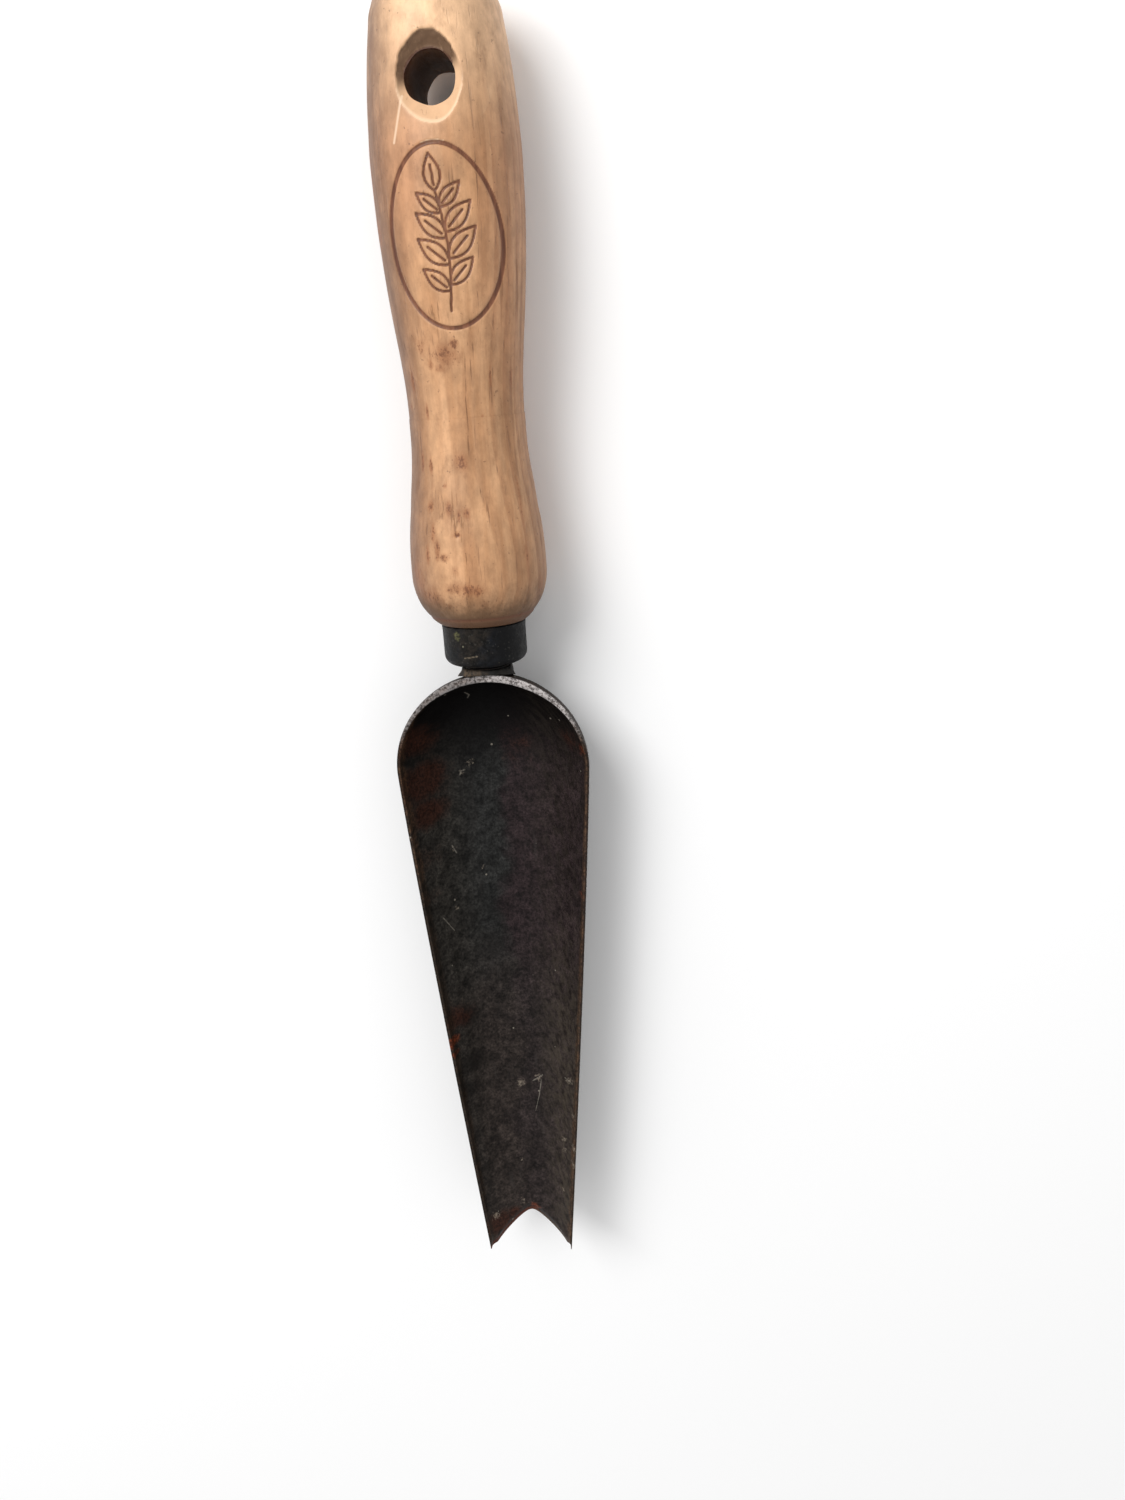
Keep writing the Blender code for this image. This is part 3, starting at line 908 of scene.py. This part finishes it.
def blade_end(across):
    """How far the blade reaches ahead of the bowl's centre, this far from its middle line."""

    def rounded(distance):
        return np.hypot(distance, NOTCH_ROUND) - NOTCH_ROUND

    share = rounded(across) / rounded(NOTCH_WIDTH / 2)
    return TAPER_LENGTH - np.maximum(0, NOTCH_DEPTH * (1 - share))


def outer_skin(rim, downs):
    """The blade's outer skin as a grid: rows follow the rim from the left tip to the right one, and columns
    run down from the rim. rim holds each row's (part, place): a share of the way to the tip, or a swing
    round the bowl."""
    rows = []
    for part, place in rim:
        turn = downs * np.pi / 2
        if part == "bowl":
            level = BOWL_RADIUS * np.cos(turn)
            x, y = level * math.cos(place), level * math.sin(place)
            drop = (BLADE_DEPTH - RIM_LAND) * np.sin(turn)
        else:
            side = 1 if part == "right" else -1
            reach = place * blade_end(TIP_WIDTH / 2 * np.cos(turn))
            share = reach / TAPER_LENGTH
            x = side * taper(BOWL_RADIUS, TIP_WIDTH / 2, share) * np.cos(turn)
            y = -reach
            drop = (taper(BLADE_DEPTH, TIP_DEPTH, share) - RIM_LAND) * np.sin(turn)
        z = -RIM_LAND - drop
        rows.append(np.stack([x, BOWL_Y + y, BLADE_HIGH.z + z], axis=-1))
    return np.array(rows)


def rim_places():
    def step_at(share):
        return 0.8 * MM / TAPER_LENGTH if share < 0.9 else 0.45 * MM / TAPER_LENGTH

    shares = spread(0, 1, step_at)
    places = [("left", share) for share in shares[::-1]]
    places += [("bowl", swing) for swing in np.linspace(np.pi, 0, 112)[1:-1]]
    places += [("right", share) for share in shares]
    return places


def grid_normals(grid):
    """Unit normals of a grid, pointing out of the blade."""
    along = np.gradient(grid, axis=0)
    across = np.gradient(grid, axis=1)
    normal = np.cross(along, across)
    length = np.linalg.norm(normal, axis=2, keepdims=True)
    normal = normal / np.maximum(length, 1e-12)
    normal[length[..., 0] < 1e-12] = (0, 0, -1)
    return normal


def skin_normals(outer, rim):
    """The outer skin's normals, level along the rim and straight down along the middle line."""
    normals = grid_normals(outer)
    normals[:, 0, 2] = 0
    normals[:, 0] /= np.linalg.norm(normals[:, 0], axis=1, keepdims=True)
    pole = [i for i, (part, _) in enumerate(rim) if part == "bowl"]
    normals[pole, -1] = (0, 0, -1)
    spine = [i for i, (part, _) in enumerate(rim) if part != "bowl"]
    normals[spine, -1, 0] = 0
    normals[spine, -1] /= np.linalg.norm(normals[spine, -1], axis=1, keepdims=True)
    return normals


def blade_skins(rim):
    """The outer and inner skins, closer together at the tips and along the rim, and a little dented."""
    downs = spread(0, 1, lambda share: 0.012 if share < 0.15 else 0.024)
    outer = outer_skin(rim, downs)
    normals = skin_normals(outer, rim)
    to_end = np.array([1 - place if part != "bowl" else 1 for part, place in rim]) * TAPER_LENGTH
    thick = PLATE * (0.30 + 0.70 * smooth_step(0, 3.4 * MM, to_end))[:, None, None]
    beside = np.array([1 if part != "bowl" else abs(math.cos(place)) for part, place in rim])
    rim_share = 0.86 - 0.46 * smooth_step(0.35, 0.98, beside)[:, None, None]
    inward = smooth_step(0, 0.34, downs)[None, :, None]
    inner = outer - normals * thick * (rim_share + (1 - rim_share) * inward)
    dent = (lumps(outer.reshape(-1, 3), 14 * MM, 31) * 0.12 * MM).reshape(outer.shape[:2])
    dent *= smooth_step(0, 0.2, downs)
    return outer + normals * dent[..., None], inner + normals * dent[..., None]


def with_land(skin):
    """The skin with one more column above it: the upright land up to the rim's rounded top."""
    top = skin[:, 0].copy()
    top[:, 2] = BLADE_HIGH.z - RIM_CORNER
    return np.concatenate([top[:, None], skin], axis=1)


def rounded_rim(outer_top, inner_top, slope):
    """The rim's top, rounded, sloping inwards and worn, as lines from the outer skin to the inner."""
    strip = []
    for turn in np.linspace(0, np.pi, 11):
        across = (1 - math.copysign(abs(math.cos(turn)) ** 0.45, math.cos(turn))) / 2
        rise = RIM_CORNER * math.sin(turn) ** 0.45 if 0 < turn < np.pi - 1e-9 else 0
        line = outer_top * (1 - across) + inner_top * across
        line[:, 2] += rise
        strip.append(line)
    strip = np.array(strip)
    strip[..., 2] -= np.linspace(0, 1, len(strip))[:, None] ** 1.6 * slope
    worn = (lumps(strip.reshape(-1, 3), 2.2 * MM, 32) * 0.09 * MM).reshape(strip.shape[:2])
    worn[[0, -1]] = 0
    strip[..., 2] -= np.abs(worn)
    return strip


def blade_ends(outer, inner, strip):
    """Grids that close the plate at both tips, where the first and last rows of the skins are."""
    ends = []
    for row in (0, -1):
        face_strip = strip[:, row]
        middle = (outer[row] + inner[row]) / 2
        middle[0] = face_strip[len(face_strip) // 2]
        ends.append(np.stack([outer[row], middle, inner[row]]))
        ends.append(np.stack([face_strip, np.broadcast_to(middle[0], face_strip.shape)]))
    return ends


def blade_mesh():
    rim = rim_places()
    outer, inner = (with_land(skin) for skin in blade_skins(rim))
    share = np.array([place if part != "bowl" else 0 for part, place in rim])
    slope = RIM_SLOPE * smooth_step(0.03, 0.40, share)
    strip = rounded_rim(outer[:, 0], inner[:, 0], slope)
    fade = np.clip(1 - (BLADE_HIGH.z - inner[..., 2]) / (6 * MM), 0, 1)
    inner[..., 2] -= fade * slope[:, None]
    inner[:, 0, 2] = strip[-1, :, 2]
    mesh = mesh_of_grids("blade_scoop", [outer, inner, strip, *blade_ends(outer, inner, strip)])
    mark_blade(mesh)
    return mesh


def mark_blade(mesh):
    """Masks for the blade's material, worked out from where each point is."""
    points = points_of(mesh)
    x, y, z = points.T
    store(mesh, "below", (BLADE_HIGH.z - z) / MM)
    ahead = np.maximum(BOWL_Y - y, 0)
    to_end = (blade_end(x) - ahead) / MM
    store(mesh, "to_end", np.clip(to_end, 0, 40))
    half = taper(BOWL_RADIUS, TIP_WIDTH / 2, np.clip(ahead / TAPER_LENGTH, 0, 1))
    to_side = (half - np.hypot(x, np.maximum(y - BOWL_Y, 0))) / MM
    store(mesh, "to_side", np.clip(to_side, 0, 20))
    rear = np.clip((y - BOWL_Y) / BOWL_RADIUS, -1, 1)
    brighter = smooth_step(-4.5 * MM, 1.5 * MM, x)
    store(mesh, "bare", (0.42 + 0.58 * brighter) * smooth_step(0.22, 0.62, rear))
    for kind, marks in BLADE_MARKS.items():
        mask = np.zeros(len(points))
        for mark_x, mark_y, size, strength in marks:
            away = np.hypot(x - mark_x * MM, y - mark_y * MM) / (size * MM)
            mask = np.maximum(mask, strength * np.exp(-(away**2)))
        store(mesh, kind, mask)


# Marks on the blade, seen from above: x and y in millimetres, half width, strength.
BLADE_MARKS = {
    "rust": (
        (-16.8, -94.5, 2, 1), (-16.4, -98, 1.4, 0.8), (1, -149, 1.8, 0.9),
        (22.4, -15, 2, 0.55), (19.9, -54, 2.2, 0.55),
    ),
    "stain": (
        (-20.5, -12, 6, 0.9), (-19.5, -24, 6.5, 1), (-18.5, -32, 5, 0.9),
        (-20, -43, 5, 0.5), (-20.2, -54, 4, 0.45), (-15.5, -89, 5, 0.7),
        (-9, -152, 4, 1), (-4.5, -150.5, 2.4, 0.9), (18.5, -14, 5, 0.5),
        (5, -18, 9, 0.4),
    ),
    "char": (
        (-12.8, -90, 4, 0.8), (-12.3, -103, 4, 0.9), (-13.8, -110, 3.6, 0.8),
        (-8, -104, 3, 0.6), (-4, -62, 7, 0.55), (-5, -72, 6, 0.6),
        (-5, -138, 4, 0.6), (8, -92, 4, 0.5),
    ),
    "chalk": (
        (-8.7, -21.8, 1.6, 0.7), (-11.1, -24.2, 0.9, 0.8), (-7, -50.6, 0.8, 0.8),
        (-14.2, -59.9, 0.7, 0.9), (-14, -43.8, 0.9, 0.7), (-0.8, -112.2, 1.5, 0.8),
        (4.2, -110.4, 1.6, 0.75), (13.2, -108.4, 1.6, 0.75), (10.8, -126.4, 1, 0.85),
        (10.9, -129.5, 0.9, 0.8), (-1.8, -134.7, 1, 0.75), (9.9, -141.6, 0.8, 0.8),
        (-9.4, -149.6, 1.6, 0.8), (-2, -147.2, 1.6, 0.6), (13.6, -127, 1.2, 0.9),
        (13.2, -132, 1.2, 0.8), (14.2, -118, 1.2, 0.7),
    ),
}


# Scratches on the blade: two ends, x and y in millimetres, and a width.
BLADE_SCRATCHES = (
    ((2.6, -111.5), (5.5, -109.5), 0.32),
    ((5, -111), (4.2, -115.5), 0.26),
    ((4.2, -115.5), (2.9, -120.2), 0.20),
    ((-7.2, -1.2), (-6.4, -2.2), 0.35),
    ((-6.4, -2.2), (-7, -3.2), 0.30),
    ((-11.4, -24.8), (-11, -23.8), 0.35),
    ((-11, -23.8), (-10, -23.6), 0.35),
    ((-14.4, -42.8), (-13.4, -45.2), 0.28),
    ((-17.3, -60.8), (-15, -65.6), 0.18),
    ((12, -108.2), (14, -108.8), 0.30),
)


def scale_zones(look, across, along, mottle, fine, blotch):
    """The scale's tones across and along the blade, with painted light in them: browner on the right, a
    lighter left wall, the rear made black as painted shade, and dust with painted light down the right
    side.
    """
    patch = look.noise(look.where, 55, 4, 0.6)
    wander = look.times(look.plus(patch, -0.5), 0.030)
    right = look.range(look.plus(across, wander), -3 * MM, 3 * MM)
    lower = look.range(look.plus(along, wander), -95 * MM, -60 * MM, 1, 0)
    # Painted light: towards the bowl, the right side is browner and the left greyer, as light falls on the
    # hollow.
    upper_tone = look.mix(right, colour(33, 33, 32), colour(36, 28, 29))
    lower_tone = look.mix(right, colour(42, 36, 33), colour(38, 32, 31))
    base = look.mix(lower, upper_tone, lower_tone)
    # Painted light: the left inner wall, which faces away from the light, is made lighter.
    base = look.tint(base, look.range(across, -18 * MM, -6 * MM, 1, 0), 0.8, (46, 43, 39))
    base = look.vary(base, mottle, 0.30, 0.70, 0.38, 1.65)
    base = look.vary(base, fine, 0.32, 0.68, 0.50, 1.55)
    base = look.vary(base, blotch, 0.32, 0.68, 0.70, 1.25)
    drag = look.noise(look.place(scale=(1, 0.12, 1)), 500, 4, 0.6)
    base = look.tint(base, look.range(drag, 0.60, 0.74), 0.22, (66, 62, 60))
    # Painted shade: the rear of the bowl is made nearly black.
    painted_dark_shade = look.range(look.plus(along, look.times(mottle, 0.01)), -24 * MM, 0)
    base = look.tint(base, painted_dark_shade, 0.96, (4, 2, 2))
    # Dust and painted light: the right inner wall, which faces the light, is made lighter, in slanting
    # streaks.
    dust_and_painted_light = look.times(
        look.range(across, 2 * MM, 12 * MM),
        look.range(along, -115 * MM, -50 * MM, 1, 0.25),
    )
    slant = look.noise(look.place(scale=(1, 0.22, 1), turn=(0, 0, math.radians(-30))), 800, 4, 0.65)
    dust_and_painted_light = look.times(dust_and_painted_light, look.range(slant, 0.38, 0.66, 0.15, 1))
    return look.tint(base, dust_and_painted_light, 0.6, (76, 68, 58))


def scale_edges(look, base, across, along, mottle, fine, blotch):
    """Ochre lines along the rim, a thin dark line of painted shade at its outer edge, and browned steel
    round the notch.
    """
    to_side = look.attribute("to_side")
    edge = look.range(look.plus(to_side, look.times(blotch, -2)), -0.2, 0.8, 1, 0)
    edge = look.times(edge, look.range(look.attribute("below"), 3, 5, 1, 0))
    ochre = look.mix(look.range(fine, 0.35, 0.65), colour(50, 35, 25), colour(98, 73, 53))
    near_left = look.range(across, -2 * MM, 2 * MM, 1, 0)
    faded = look.times(near_left, look.range(along, -60 * MM, -40 * MM, 1, 0))
    ochre = look.tint(ochre, faded, 0.8, (38, 29, 21))
    base = look.mix(look.times(edge, look.range(mottle, 0.38, 0.62, 0.15, 0.80)), base, ochre)
    # Painted shade: a thin dark line right at the rim's outer edge.
    base = look.tint(base, look.range(to_side, 0.25, 0.55, 1, 0), 0.7, (28, 22, 18))
    to_end = look.attribute("to_end")
    near_end = look.range(look.plus(to_end, look.times(mottle, -1.6)), -0.2, 0.9, 1, 0)
    end_tone = look.mix(look.range(across, -2 * MM, 4 * MM), colour(88, 44, 30), colour(80, 66, 56))
    return look.mix(look.times(near_end, 0.75), base, end_tone)


def marked(look, base, kind, worn, span, strength, tones, fine):
    """base under one kind of mark, with edges that follow worn and a colour that follows fine."""
    mask = look.range(look.plus(look.attribute(kind), worn), *span)
    tone = look.mix(fine, colour(*tones[0]), colour(*tones[1]))
    return look.mix(look.times(mask, strength), base, tone)


def scale_look():
    """Forging scale with brown and grey zones, rust along the edges and bare metal on the rear rim."""
    look = Look("worn_blade_steel")
    fine = look.noise(look.where, 1500, 3, 0.75)
    mottle = look.noise(look.where, 420, 6, 0.72)
    blotch = look.noise(look.where, 160, 5, 0.65)
    across, along = look.axes()[:2]
    base = scale_zones(look, across, along, mottle, fine, blotch)

    worn = look.plus(look.times(mottle, 0.7), look.times(blotch, 1))
    char = look.range(look.plus(look.attribute("char"), worn), 1.15, 1.75)
    base = look.tint(base, char, 0.7, (10, 8, 7))
    shade = look.range(fine, 0.35, 0.65)
    base = marked(look, base, "stain", worn, (1.15, 1.70), 0.85, ((30, 14, 9), (62, 34, 24)), shade)
    base = scale_edges(look, base, across, along, mottle, fine, blotch)
    shade = look.range(fine, 0.38, 0.66)
    base = marked(look, base, "rust", worn, (1.20, 1.70), 0.8, ((58, 24, 13), (124, 60, 32)), shade)
    chalk = look.range(look.plus(look.attribute("chalk"), look.times(fine, 2)), 1.45, 2.05)
    base = look.tint(base, chalk, 0.75, (138, 126, 112))

    on_rim = look.range(look.attribute("below"), 0.15, 0.5, 1, 0)
    bare = look.times(on_rim, look.range(fine, 0.40, 0.58, 0.15, 1), look.attribute("bare"))
    base = look.mix(bare, base, colour(196, 190, 188))
    scratches = look.most(*(look.scratch(*scratch) for scratch in BLADE_SCRATCHES))
    scratches = look.times(scratches, look.range(fine, 0.35, 0.55, 0.3, 1))
    base = look.tint(base, scratches, 0.6, (130, 124, 114))
    flecks = look.most(look.specks(230, 0.05, 0.35), look.specks(420, 0.07, 0.12))
    base = look.tint(base, flecks, 0.6, (150, 142, 130))

    metallic = look.range(bare, 0, 1, 0, 0.9)
    rough = look.range(mottle, 0.3, 0.75, 0.48, 0.68)
    normal = look.bump(look.plus(look.times(mottle, 0.7), look.times(fine, 0.3)), 0.0002)
    return look.surface(
        Base_Color=base, Roughness=rough, Normal=normal, Metallic=metallic, Specular_IOR_Level=0.10
    )


# The stage

FLOOR_SIZE = 6.0
PAPER = (0.92, 0.92, 0.92, 1)
CAMERA_PLACE = (0.0510, 0.0795, 0.3325)
CAMERA_DEGREES = (-17.006, 5.037, -3.564)
CAMERA_LENS = 31.92  # millimetres, on a sensor 36 mm wide
KEY_TOWARDS = (-0.42, 0.57, 0.80)
WORLD_STRENGTH = 0.70


def add_floor():
    half = FLOOR_SIZE / 2
    mesh = bpy.data.meshes.new("floor")
    corners = [(-half, -half, 0), (half, -half, 0), (half, half, 0), (-half, half, 0)]
    mesh.from_pydata(corners, [], [(0, 1, 2, 3)])
    look = Look("paper_floor")
    mesh.materials.append(look.surface(Base_Color=PAPER, Roughness=0.95))
    floor = link(bpy.data.objects.new("floor", mesh))


def add_light(name, towards, distance, size, power):
    """A soft square light in this direction from the object."""
    data = bpy.data.lights.new(name, "AREA")
    data.size = size
    data.energy = power
    lamp = link(bpy.data.objects.new(name, data))
    direction = Vector(towards).normalized()
    lamp.location = direction * distance
    lamp.rotation_euler = direction.to_track_quat("Z", "Y").to_euler()
    return lamp


def add_camera():
    data = bpy.data.cameras.new("camera")
    data.lens = CAMERA_LENS
    data.sensor_width = 36.0
    data.clip_start = 0.01
    camera = link(bpy.data.objects.new("camera", data))
    camera.location = CAMERA_PLACE
    camera.rotation_euler = Euler([math.radians(turn) for turn in CAMERA_DEGREES])
    bpy.context.scene.camera = camera


def add_world():
    world = bpy.data.worlds.new("studio")
    world.use_nodes = True
    background = world.node_tree.nodes["Background"]
    background.inputs["Color"].default_value = (1, 1, 1, 1)
    background.inputs["Strength"].default_value = WORLD_STRENGTH
    bpy.context.scene.world = world


def set_the_stage():
    scene = bpy.context.scene
    scene.view_settings.view_transform = "Standard"
    scene.view_settings.look = "None"
    add_camera()
    add_world()
    add_floor()
    add_light("key", KEY_TOWARDS, distance=1.2, size=0.62, power=10.2)


set_the_stage()
add_piece("handle_wood", handle_mesh(), "handle", ash_look())
add_piece("ferrule_cup", ferrule_mesh(), "ferrule", blackened_look())
add_piece("tang_forging", tang_mesh(), "tang", forged_look())
add_piece("weld_bead", weld_mesh(), "neck_weld", weld_look())
add_piece("blade_scoop", blade_mesh(), "blade", scale_look())
